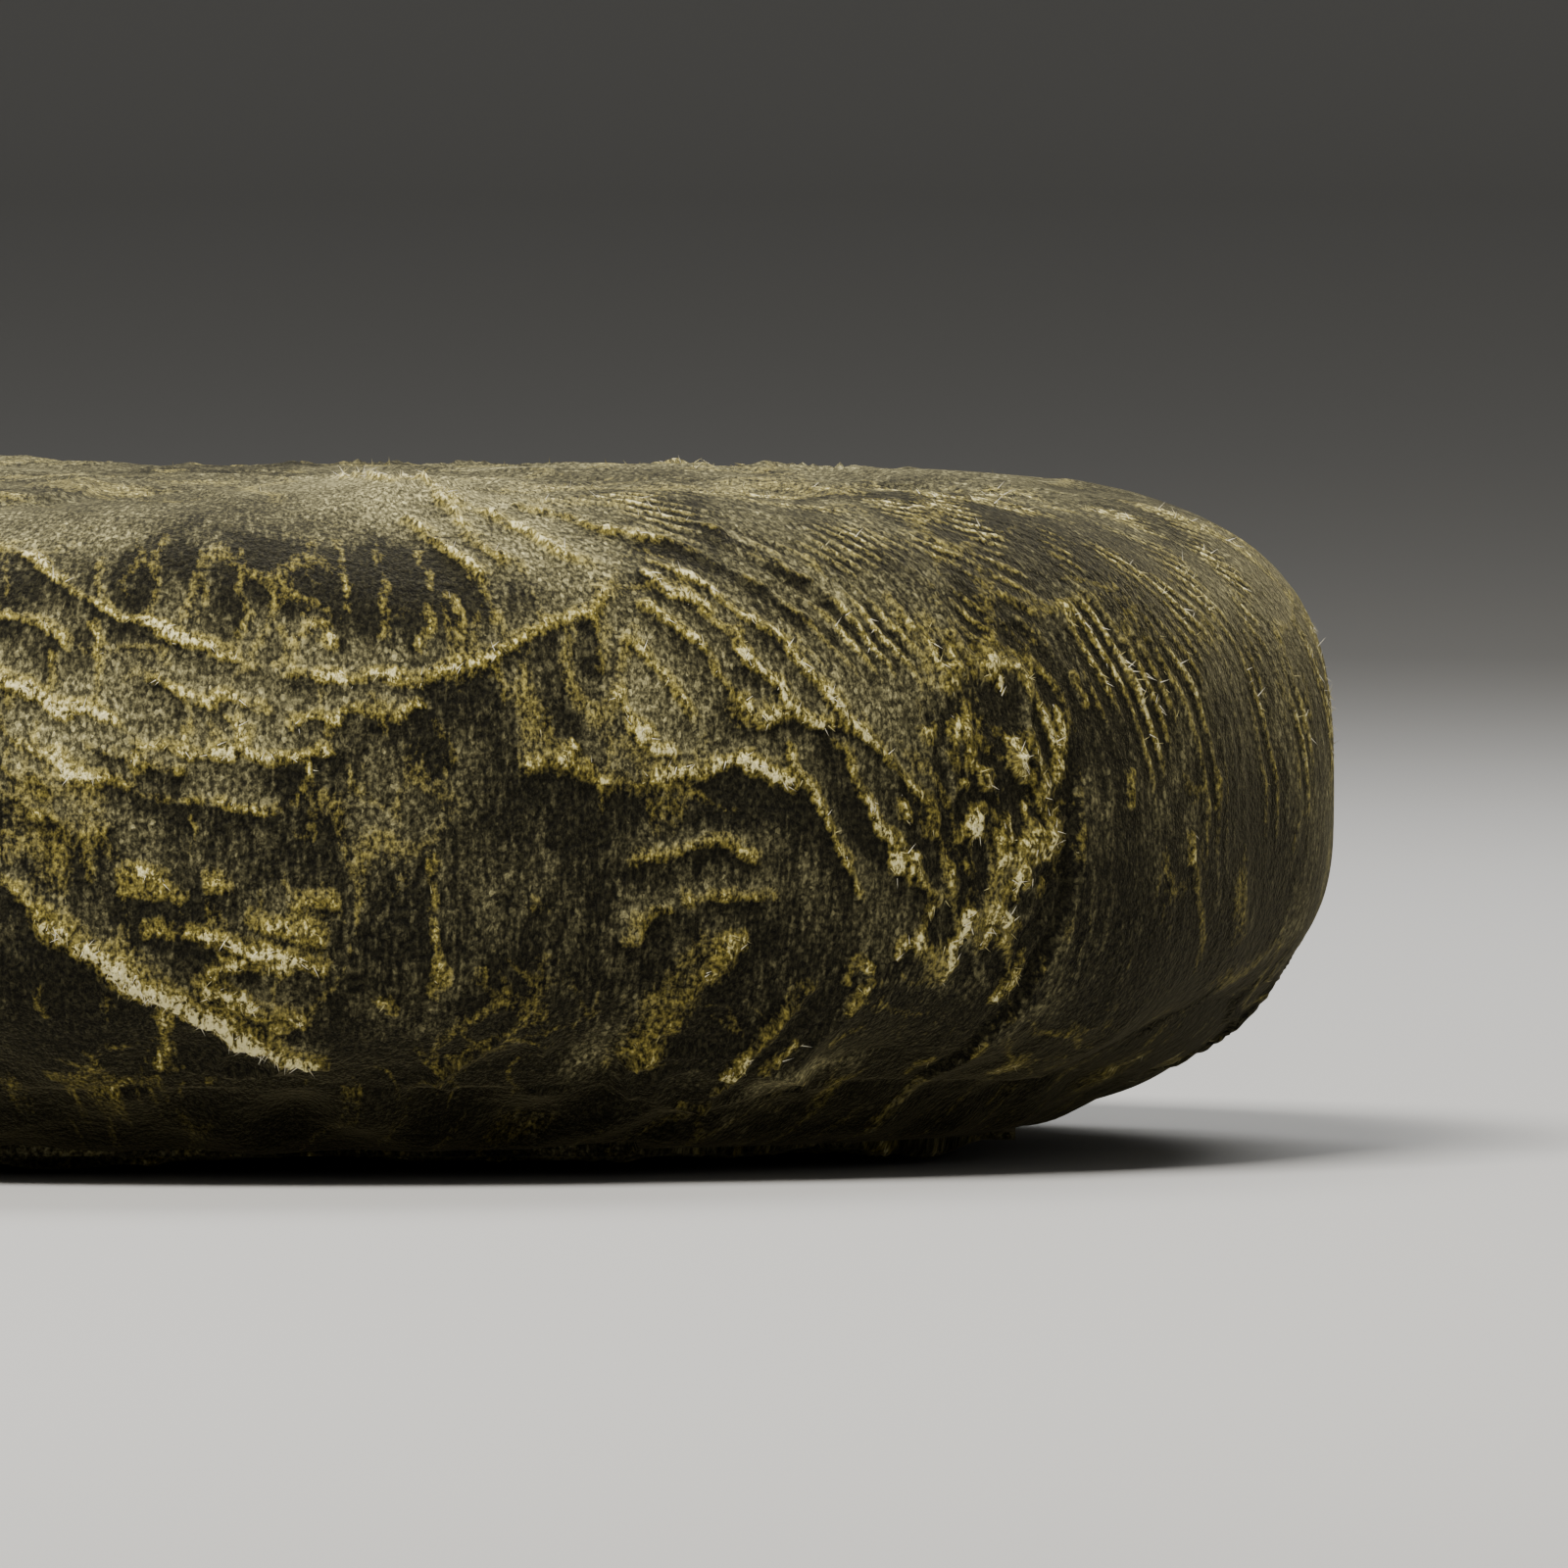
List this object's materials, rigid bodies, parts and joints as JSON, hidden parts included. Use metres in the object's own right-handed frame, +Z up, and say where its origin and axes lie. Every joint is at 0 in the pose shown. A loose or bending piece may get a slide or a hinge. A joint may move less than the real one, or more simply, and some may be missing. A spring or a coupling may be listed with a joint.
{
  "type": "cloth-wrapped rosin cake",
  "caption": "Round cake of bow rosin glued to a square of velvet that wraps it; the cloth's folded corners open underneath to bare the rosin.",
  "frame": {"origin": "middle of the flat face that the wrapped cake rests on, where the folded corners meet", "axes": "+Z up through the cake's middle, square to its flat faces; -Y is the front"},
  "size_m": [0.062, 0.062, 0.02],
  "materials": {
    "velvet": "crushed olive-gold velvet, short pile, with pale creases",
    "rosin": "clear dark amber rosin, glassy, lightly dusted",
    "glue": "dried glue film"
  },
  "bodies": {
    "bundle": {"rosin_cake": "rosin", "glue_film": "glue", "velvet_crown": "velvet"},
    "front_corner": {"front_flap": "velvet"},
    "right_corner": {"right_flap": "velvet"},
    "back_corner": {"back_flap": "velvet"},
    "left_corner": {"left_flap": "velvet"}
  },
  "joints": [
    {"name": "front_fold", "type": "hinge", "parent": "bundle", "child": "front_corner", "pos_m": [0, -0.0205, 0], "axis": [-1, 0, 0], "range_deg": [0, 150]},
    {"name": "right_fold", "type": "hinge", "parent": "bundle", "child": "right_corner", "pos_m": [0.0205, 0, 0], "axis": [0, -1, 0], "range_deg": [0, 150]},
    {"name": "back_fold", "type": "hinge", "parent": "bundle", "child": "back_corner", "pos_m": [0, 0.0205, 0], "axis": [1, 0, 0], "range_deg": [0, 150]},
    {"name": "left_fold", "type": "hinge", "parent": "bundle", "child": "left_corner", "pos_m": [-0.0205, 0, 0], "axis": [0, 1, 0], "range_deg": [0, 150]}
  ]
}
